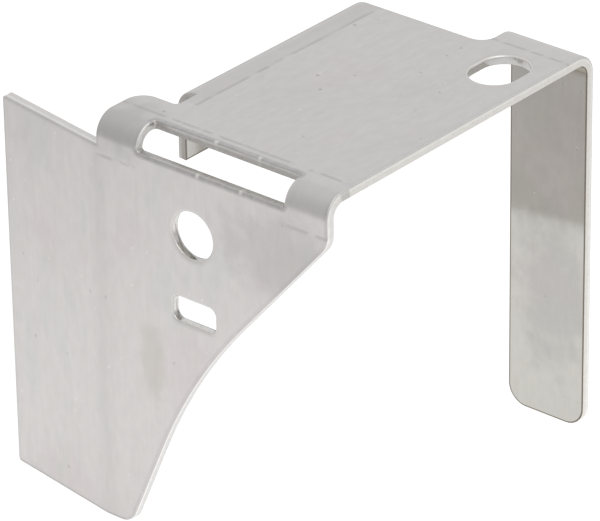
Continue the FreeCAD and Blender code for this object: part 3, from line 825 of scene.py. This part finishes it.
class MillFinish(Finish):
    """Bare rolled steel on both skins of the sheet."""

    def lay_down(self):
        graph, skin_shift = self.graph, (1.7, 0.9, 0.0)
        self.from_bend = graph.maths("ABSOLUTE", self.run)
        self.inner = graph.above(self.depth, 0.5)
        self.outer = graph.maths("SUBTRACT", 1.0, self.inner)
        self.pattern = graph.vector_maths("MULTIPLY_ADD", skin_shift, self.inner, self.blank)[0]
        self.roll()
        self.smudge_and_shade_skins()
        self.bend()
        self.press()
        self.pit()
        self.shade_and_mark_rims()

    def roll(self):
        """Steel with its mill lines and its pinkish and greenish clouds."""
        f, graph, pattern = colours(), self.graph, self.pattern
        self.lines = self.group("lines", Vector=pattern, Width=0.9 * MM, Reach=50 * MM)
        broad = self.group("lines", Vector=pattern, Width=6 * MM, Reach=30 * MM)
        self.warm = self.group("clouds", Vector=pattern, Size=30 * MM, Threshold=0.5)
        stretched = graph.scaled(pattern, (0.6, 1.1, 1))
        cool = self.group("clouds", Vector=stretched, Size=18 * MM, Threshold=0.5)
        yellowed = graph.product(self.inner, graph.maths("SUBTRACT", 1.0, self.front))
        self.tone = graph.mix(yellowed, rgba(f.steel), rgba(f.inside))
        self.tint(f.warm, graph.total(graph.product(self.warm, 0.35),
                                      graph.product(self.front, self.outer, 0.15)))
        self.tint(f.cool, cool, 0.4)
        mottled = graph.noise(graph.scaled(pattern, (0.55, 1, 1)), 330.0, 3.0, 0.6)
        shade = graph.total(graph.remap(self.lines, 0.2, 0.8, 0.985, 1.01),
                            graph.remap(broad, 0.25, 0.75, -0.01, 0.01),
                            graph.remap(mottled, 0.3, 0.7, -0.02, 0.02))
        grey = graph.add("ShaderNodeCombineColor", {"Red": shade, "Green": shade, "Blue": shade})
        self.tone = graph.mix(1.0, self.tone, grey.outputs[0], "MULTIPLY")

    def smudge_and_shade_skins(self):
        """Dull smudges on the shoulder, the tab and the leg, painted shade on the inner skin under
        the top plate, and a film of oil.
        """
        f = colours()
        self.smudge_and_shade = self.graph.product(self.stain_and_shade(SHOULDER_SMUDGE), self.outer)
        self.tint(f.smudge_and_shade, self.smudge_and_shade, 0.28)
        self.tint(f.smudge_and_shade, self.stain_and_shade(TAB_SMUDGE))
        self.tint(f.smudge_and_shade, self.stain_and_shade(LEG_SMUDGE), self.inner)
        # Painted shade on the inner skin under the top plate and down the top of the leg.
        self.tint(f.smudge_and_shade, self.stain_and_shade(UNDER_TOP_SHADE), self.inner)
        self.tint(f.oil, self.stain_and_shade(OIL_FILM), self.outer)

    def bend(self):
        """Painted shade inside the leg's bend, and the stretched steel of the front bend."""
        f, graph = colours(), self.graph
        from_leg_bend = graph.apart(self.run, sizes().top_length)
        # Painted shade: the inner skin round the leg's bend darkened with the olive colour.
        self.tint(f.olive, graph.remap(from_leg_bend, 9 * MM, 5 * MM), self.inner, 0.85)
        self.stretched = graph.remap(self.from_bend, 9 * MM, 4 * MM)
        self.tint(f.heat, self.stretched, 0.2)

    def press(self):
        """Broken marks of the press beside the bends, and painted shade: a band along the ear's
        bend, and the strip along the flange's bend from the notch on.
        """
        f, s, graph = colours(), sizes(), self.graph
        run, side = self.run, self.side
        behind_notch = graph.above(run, s.flange_start * 0.8)
        beside_window = graph.product(
            graph.above(graph.apart(side, tab_side() / 2), s.window_length * 0.47),
            graph.below(side, tab_side()))
        bent, front_bent = s.bend_radius * 3.05, s.bend_radius * 2.9
        marks = []
        for distance, stop, where in (
                (run, front_bent, 1.0), (run, s.top_length - bent, 1.0),
                (run, -bent, beside_window), (side, s.top_width - bent, behind_notch)):
            mark = self.group("press", Distance=distance, Stop=stop, Width=MM)
            marks.append(graph.product(mark, where))
        broken = graph.remap(graph.noise(self.pattern, 190.0), 0.36, 0.56)
        self.mark = graph.product(graph.highest(*marks), broken)
        self.tint(f.smudge_and_shade, self.mark, 0.5)
        # Painted shade: a wide dark band on the front plate along the ear's bend.
        shadow = self.group("press", Distance=side, Stop=ear_line() - MM, Width=6 * MM)
        self.tint(f.smudge_and_shade, shadow, self.front, 0.13)
        # Painted shade: the strip along the flange's bend and the flange, from the notch on, made
        # darker.
        on_flange = graph.above(side, s.top_width - bent)
        self.tint(f.smudge_and_shade, behind_notch, on_flange, 0.13)

    def pit(self):
        """Sparse dark pits, fewer to see on the front plate, and bright flecks."""
        f, graph = colours(), self.graph
        self.pits = self.group("pits", Vector=self.pattern, Spacing=6.5 * MM, Part=0.12)
        seen = graph.maths("SUBTRACT", graph.between(self.inner, 0.34, 0.14),
                           graph.product(self.front, 0.12))
        self.tint(f.pit, self.pits, seen)
        elsewhere = graph.scaled(self.pattern, (1.1, 0.9, 1))
        flecks = self.group("pits", Vector=elsewhere, Spacing=4.7 * MM, Part=0.2)
        self.tint(f.cut, flecks, self.outer, 0.3)

    def shade_and_mark_rims(self):
        """Painted shade beside the rims, painted highlights on the holes' rims, light lines at the
        punch's strokes, and a dark burr line on the inner skin.
        """
        f, s, graph = colours(), sizes(), self.graph
        hole = graph.product(self.punched, self.outer)
        self.rolled_over = self.rim(0.3, 0.6)
        # Painted shade: a dark band beside the outline where the skin droops, strongest on the
        # front plate, and a dark band along the front plate's lower edges.
        outline = graph.product(
            graph.maths("SUBTRACT", self.rim(0.6, 1.4), self.rolled_over),
            graph.maths("SUBTRACT", self.outer, hole),
            graph.between(self.front, 0.08, 0.24))
        low_rim = graph.remap(self.run, 1.1 * MM - s.plate_height, 0.5 * MM - s.plate_height)
        low_rim = graph.product(low_rim, self.outer, 0.65)
        self.tint(f.smudge_and_shade, graph.highest(outline, low_rim))
        # Painted shade round the holes, where the skin droops, strongest beside the window's long
        # sides.
        along_window = graph.product(graph.remap(self.from_bend, 15 * MM, 12 * MM),
                                     graph.remap(self.from_bend, 5 * MM, 7 * MM))
        ragged = graph.remap(graph.noise(self.pattern, 420.0), 0.3, 0.7, 0.7, 1.15)
        drawn = graph.remap(along_window, 0.0, 1.0, 0.06, 0.62)
        self.tint(f.smudge_and_shade, self.rim(0.7, 1.9), hole, drawn, ragged)
        # Painted highlight on the rolled rims of the holes, weakest beside the window's long sides.
        painted_highlight = graph.remap(along_window, 0.0, 1.0, 0.4, 0.05)
        self.tint(f.cut, self.rim(0.3, 0.7), hole, painted_highlight)
        # Light lines at the punch's strokes beside the window: real steps, with a painted highlight
        # where they would catch the light.
        strokes = self.group("strokes", Run=self.run, Side=self.side)
        self.tint(f.cut, strokes, self.rim(0.5, 1.3), 0.6)
        # Dark line along the inner skin's rims: the burr, with painted shade where the skin meets
        # the cut face.
        self.tint(f.burr, self.rim(0.3, 0.65), self.inner)

    def roughness(self):
        """Roughness of the skins, the bends, the rolled rims, the clouds and the smudge."""
        f, graph = colours(), self.graph
        skins = graph.between(self.inner, f.roughness, f.inside_roughness)
        return graph.total(graph.between(self.stretched, skins, f.bend_roughness),
                           graph.product(self.rolled_over, self.outer, 0.25),
                           graph.product(self.warm, 0.05), graph.product(self.smudge_and_shade, 0.08))

    def relief(self):
        """Height in millimetres of the mill lines, a slow wave, the pits and the press marks."""
        graph = self.graph
        wave = graph.noise(self.pattern, 45.0)
        return graph.total(graph.product(self.lines, 0.0006), graph.product(wave, 0.03),
                           graph.product(self.pits, -0.03), graph.product(self.mark, -0.02))


class ShearedFace(Finish):
    """Cut faces: a bright smooth band where the punch sheared, and a dull torn one below."""

    def lay_down(self):
        f, r, s, graph = colours(), rims(), sizes(), self.graph
        run, side, punched = self.run, self.side, self.punched
        solid = graph.add("ShaderNodeTexCoord").outputs["Object"]
        grain = self.grain = graph.noise(solid, 900.0, 3.0, 0.6)
        wander = graph.product(graph.maths("SUBTRACT", grain, 0.5), 0.25)
        self.torn = graph.remap(
            graph.total(self.depth, wander), r.burnish - 0.05, r.burnish + 0.08)
        outline = graph.mix(self.front, rgba(f.cut), rgba(f.fresh_cut))
        # The hole faces take the darker punched colour, partly painted shade inside the holes.
        self.tone = graph.mix(punched, outline, rgba(f.punched))
        self.tint(f.steel, self.torn, 0.3)
        self.tint(f.warm, graph.remap(grain, 0.35, 0.75, 0.0, 0.2))
        # Light lines at the punch's strokes on the hole faces: real steps, with a painted highlight
        # where they would catch the light.
        self.tint(f.cut, self.group("strokes", Run=run, Side=side), punched, 0.6)
        self.tint(f.cut, graph.remap(grain, 0.56, 0.68), punched, 0.5)
        scuffed = graph.remap(graph.noise(solid, 480.0, 3.0, 0.6), 0.5, 0.62)
        self.tint(f.burr, scuffed, punched, 0.14)
        # Painted shade inside the oblong hole.
        in_oblong = graph.above(run, s.top_length / 2)
        self.tint(f.smudge_and_shade, in_oblong, punched, 0.52)
        # The cut face along the ear's upper edge and the top of the ear are made darker.
        above_ear = graph.product(graph.above(run, -s.ear_drop - MM), graph.above(side, tab_side()))
        self.tint(f.smudge_and_shade, above_ear, 0.24)
        self.in_window = graph.below(graph.maths("ABSOLUTE", run), 10 * MM)
        # Painted shade on the window's upper wall.
        upper_wall = graph.remap(run, 5 * MM, 7 * MM)
        self.tint(f.smudge_and_shade, self.in_window, upper_wall, 0.4)
        # The window end entry is a darker patch of the face; the slot corner, round hole and flange
        # end entries are painted shade.
        for stain_and_shade in (WINDOW_END_STAIN, SLOT_CORNER_SHADE, ROUND_HOLE_SHADE, FLANGE_END_SHADE):
            self.tint(f.smudge_and_shade, self.stain_and_shade(stain_and_shade))

    def roughness(self):
        """Roughness of the outline and of the holes, and more of it where they are torn."""
        f, graph = colours(), self.graph
        inside = graph.between(self.in_window, f.punched_roughness, f.window_roughness)
        rough = graph.between(self.punched, f.cut_roughness, inside)
        return graph.product(rough, graph.remap(self.torn, 0.0, 1.0, 0.8, 1.3))

    def relief(self):
        """Height in millimetres of the grain."""
        return self.graph.product(self.grain, self.graph.remap(self.torn, 0.0, 1.0, 0.01, 0.04))


def steel_materials():
    groups = steel_groups()
    finishes = MillFinish("mill_finish", groups), ShearedFace("sheared_face", groups)
    return [finish.material for finish in finishes]


def add_object(name, data):
    """Object in the scene for a mesh, a lamp or a camera."""
    added = bpy.data.objects.new(name, data)
    bpy.context.scene.collection.objects.link(added)
    return added


class CLAMP_OT_folded_sheet(bpy.types.Operator):
    """Cut, punch, thicken and fold the sheet, and give it its finish"""

    bl_idname = "clamp.folded_sheet"
    bl_label = "Folded Sheet"

    def execute(self, context):
        bm = cut_blank()
        add_rings(bm)
        score_folds(bm)
        thicken(bm)
        shape_rims(bm)
        map_blank(bm)
        part_faces(bm)
        fold_sheet(bm)
        mesh = bpy.data.meshes.new("folded_sheet")
        bm.to_mesh(mesh)
        bm.free()
        mesh.set_sharp_from_angle(angle=SHARP_ANGLE)
        for material in steel_materials():
            mesh.materials.append(material)
        sheet = add_object("folded_sheet", mesh)
        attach(sheet, BODY)
        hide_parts(NODE)
        self.check_box()
        return {"FINISHED"}

    def check_box(self):
        """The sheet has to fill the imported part's box."""
        low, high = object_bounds()
        stray = max((low - CAD_LOW).length, (high - CAD_HIGH).length)
        if stray > BOX_TOLERANCE:
            raise RuntimeError(f"the folded sheet strays {stray / MM:.2f} mm from its box")


def add_lamp():
    """Square soft lamp that faces the middle of the part."""
    st = studio()
    lamp = bpy.data.lights.new("key_lamp", "AREA")
    lamp.size, lamp.energy = st.lamp_size, st.lamp_power
    holder = add_object("key_lamp", lamp)
    offset = Vector(st.lamp_place)
    holder.location = (CAD_LOW + CAD_HIGH) / 2 + offset
    holder.rotation_euler = (-offset).to_track_quat("-Z", "Y").to_euler()


def floor_material():
    """Matt pale floor that looks nearly white and keeps a soft shadow."""
    st = studio()
    material = bpy.data.materials.new("pale_floor")
    material.use_nodes = True
    graph = Graph(material.node_tree)
    rays = graph.add("ShaderNodeLightPath").outputs
    mirrored = graph.highest(rays["Is Glossy Ray"], rays["Is Transmission Ray"])
    solid = graph.add("ShaderNodeTexCoord").outputs["Object"]
    far = graph.vector_maths("LENGTH", solid)["Value"]
    dimmed = graph.product(mirrored, graph.remap(far, 0.0, st.mirror_reach), st.mirror_dimming)
    glow = graph.maths("SUBTRACT", st.floor_glow, dimmed)
    matt = graph.add("ShaderNodeBsdfDiffuse", {"Color": rgba(st.floor_colour)}).outputs[0]
    white = graph.add("ShaderNodeEmission", {"Strength": glow}).outputs[0]
    factor = graph.total(graph.product(rays["Is Camera Ray"], st.floor_white),
                         graph.product(mirrored, st.floor_mirrored))
    mixed = graph.add("ShaderNodeMixShader", {0: factor, 1: matt, 2: white}).outputs[0]
    graph.add("ShaderNodeOutputMaterial", {"Surface": mixed})
    return material


def add_floor():
    st = studio()
    bm = bmesh.new()
    bmesh.ops.create_grid(bm, x_segments=1, y_segments=1, size=st.floor_radius,
                          matrix=Matrix.Translation((0, 0, CAD_LOW.z)))
    mesh = bpy.data.meshes.new("floor")
    bm.to_mesh(mesh)
    bm.free()
    mesh.materials.append(floor_material())
    floor = add_object("floor", mesh)
    floor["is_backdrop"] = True


def add_surroundings():
    """Soft light from all round, dimmer behind the camera, and a white backdrop."""
    st = studio()
    world = bpy.data.worlds.new("studio")
    world.use_nodes = True
    bpy.context.scene.world = world
    graph = Graph(world.node_tree)
    direction = graph.add("ShaderNodeTexCoord").outputs["Generated"]
    front = Vector(st.camera_place) - Vector(st.camera_aim)
    front.z = 0
    facing = graph.vector_maths("DOT_PRODUCT", direction, front.normalized())["Value"]
    level = graph.remap(facing, -0.5, 1.0, st.backdrop, st.room)
    light = graph.add("ShaderNodeBackground", {"Strength": level}).outputs[0]
    white = graph.add("ShaderNodeBackground", {"Color": rgba((1, 1, 1))}).outputs[0]
    camera_ray = graph.add("ShaderNodeLightPath").outputs["Is Camera Ray"]
    mixed = graph.add("ShaderNodeMixShader", {0: camera_ray, 1: light, 2: white}).outputs[0]
    graph.add("ShaderNodeOutputWorld", {"Surface": mixed})


def add_camera():
    st = studio()
    lens = bpy.data.cameras.new("camera")
    lens.lens, lens.sensor_width = st.lens, st.sensor
    lens.clip_start, lens.clip_end = st.nearest, st.farthest
    camera = add_object("camera", lens)
    stand, aim = Vector(st.camera_place), Vector(st.camera_aim)
    turn = (aim - stand).to_track_quat("-Z", "Y").to_matrix().to_4x4()
    roll = Matrix.Rotation(st.camera_roll, 4, "Z")
    camera.matrix_world = Matrix.Translation(stand) @ turn @ roll
    bpy.context.scene.camera = camera


class CLAMP_OT_studio(bpy.types.Operator):
    """Pale floor, soft light and the camera"""

    bl_idname = "clamp.studio"
    bl_label = "Studio"

    def execute(self, context):
        context.scene.view_settings.view_transform = "Standard"
        add_floor()
        add_surroundings()
        add_lamp()
        add_camera()
        return {"FINISHED"}


class CLAMP_PT_panel(bpy.types.Panel):
    """Sizes, finish and studio of the clamp plate"""

    bl_idname = "CLAMP_PT_panel"
    bl_label = "Clamp Plate"
    bl_space_type = "VIEW_3D"
    bl_region_type = "UI"
    bl_category = "Clamp Plate"

    def draw(self, context):
        for operator in OPERATORS:
            self.layout.operator(operator.bl_idname)
        for group in GROUPS:
            box = self.layout.box()
            box.label(text=group)
            settings = getattr(context.scene, group)
            for name in settings.bl_rna.properties.keys():
                if name not in ("rna_type", "name"):
                    box.prop(settings, name)


GROUPS = {
    "clamp_sheet": SheetSizes,
    "clamp_rims": RimSizes,
    "clamp_finish": FinishColours,
    "clamp_studio": Studio,
}
OPERATORS = [CLAMP_OT_folded_sheet, CLAMP_OT_studio]


def register():
    for item in [*GROUPS.values(), *OPERATORS, CLAMP_PT_panel]:
        bpy.utils.register_class(item)
    for name, group in GROUPS.items():
        setattr(bpy.types.Scene, name, bpy.props.PointerProperty(type=group))


def unregister():
    for name in GROUPS:
        delattr(bpy.types.Scene, name)
    for item in reversed([*GROUPS.values(), *OPERATORS, CLAMP_PT_panel]):
        bpy.utils.unregister_class(item)


def main():
    register()
    bpy.ops.clamp.folded_sheet()
    bpy.ops.clamp.studio()


if __name__ == "__main__":
    main()
